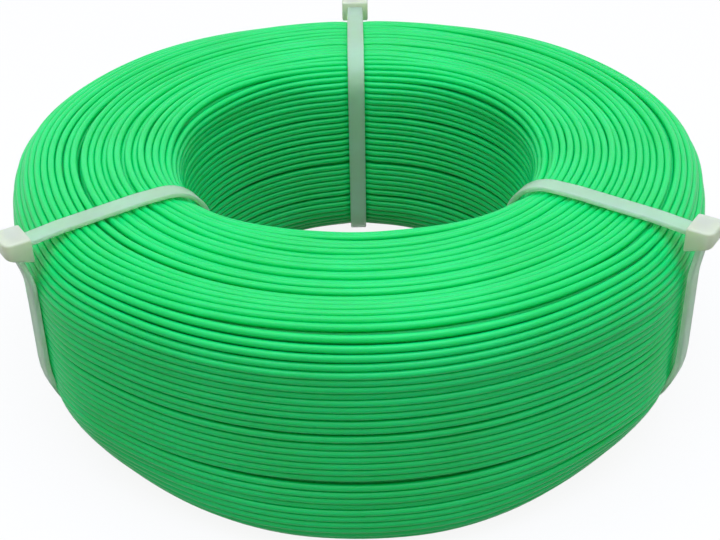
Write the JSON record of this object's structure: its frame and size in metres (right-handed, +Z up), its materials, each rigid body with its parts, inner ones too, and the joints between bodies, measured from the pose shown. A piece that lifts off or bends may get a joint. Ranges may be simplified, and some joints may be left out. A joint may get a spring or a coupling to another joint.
{
  "type": "filament refill coil",
  "caption": "Spool-less refill coil of round plastic filament: a thick wound ring with rounded edges and an open bore, bound by ratchet cable ties whose heads hold hinged pawls.",
  "frame": {"origin": "middle of the bore, halfway through the winding's width", "axes": "+Z up along the bore's axis, towards the face that carries the tie heads; +Y towards the back tie"},
  "size_m": [0.18, 0.1856, 0.0619],
  "materials": {
    "filament": "smooth extruded plastic, softly glossy, opaque green",
    "nylon": "natural nylon, milky and slightly translucent, satin"
  },
  "bodies": {
    "coil": {"filament_core": "filament", "filament_outer_layer": "filament", "back_tie_strap": "nylon", "back_tie_head": "nylon", "left_tie_strap": "nylon", "left_tie_head": "nylon", "right_tie_strap": "nylon", "right_tie_head": "nylon"},
    "back_pawl": {"back_tie_pawl": "nylon"},
    "left_pawl": {"left_tie_pawl": "nylon"},
    "right_pawl": {"right_tie_pawl": "nylon"}
  },
  "joints": [
    {"name": "back_pawl_hinge", "type": "hinge", "parent": "coil", "child": "back_pawl", "pos_m": [0, 0.0913, 0.02595], "axis": [1, 0, 0], "range_deg": [0, 8], "stiffness_Nm_per_rad": 0.02},
    {"name": "left_pawl_hinge", "type": "hinge", "parent": "coil", "child": "left_pawl", "pos_m": [-0.07613, -0.05039, 0.02595], "axis": [-0.5519, 0.8339, 0], "range_deg": [0, 8], "stiffness_Nm_per_rad": 0.02},
    {"name": "right_pawl_hinge", "type": "hinge", "parent": "coil", "child": "right_pawl", "pos_m": [0.07613, -0.05039, 0.02595], "axis": [-0.5519, -0.8339, 0], "range_deg": [0, 8], "stiffness_Nm_per_rad": 0.02}
  ]
}
